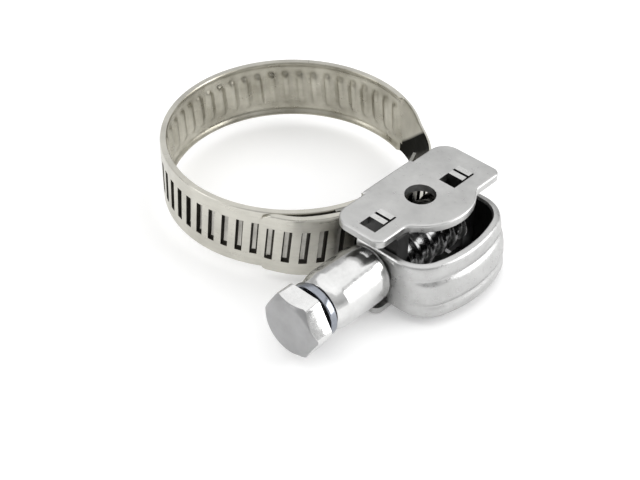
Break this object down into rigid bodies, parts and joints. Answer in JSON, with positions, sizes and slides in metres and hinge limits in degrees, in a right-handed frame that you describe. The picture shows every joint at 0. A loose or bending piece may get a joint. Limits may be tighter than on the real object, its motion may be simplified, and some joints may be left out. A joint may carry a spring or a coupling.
{
  "type": "worm drive hose clamp",
  "caption": "Band clamp for a round hose: pressed-thread strip, lobed housing plates, bow strap, and a hex-head worm screw that draws the band's tail.",
  "frame": {"origin": "centre of the ring, on the hose's axis, half-way up the band", "axes": "+Z along the hose's axis, +X from the ring's centre to the housing, the screw parallel to Y with its hex head at -Y"},
  "size_m": [0.071, 0.0583, 0.0172],
  "materials": {
    "band_steel": "rolled stainless strip, satin",
    "plate_steel": "tumbled stainless, satin grey",
    "bearing_steel": "sheared stainless",
    "screw_steel": "bright zinc-plated, polished"
  },
  "bodies": {
    "housing": {"ring_band": "band_steel", "saddle": "band_steel", "band_rivets": "screw_steel", "top_plate": "plate_steel", "bottom_plate": "plate_steel", "front_bearing": "bearing_steel", "rear_bearing": "bearing_steel", "bow_strap": "plate_steel"},
    "screw": {"hex_screw": "screw_steel", "worm_sleeve": "screw_steel"},
    "tail": {"band_tail": "band_steel"}
  },
  "joints": [
    {"name": "screw_spin", "type": "hinge", "parent": "housing", "child": "screw", "pos_m": [0.03157, 0, -0.001], "axis": [0, 1, 0], "range_deg": [-720, 720]},
    {"name": "band_feed", "type": "hinge", "parent": "housing", "child": "tail", "pos_m": [0, 0, 0], "axis": [0, 0, 1], "range_deg": [-13.8, 13.8]}
  ],
  "couplings": [
    {"joint": "band_feed", "follows": "screw_spin", "ratio": -0.019018}
  ]
}
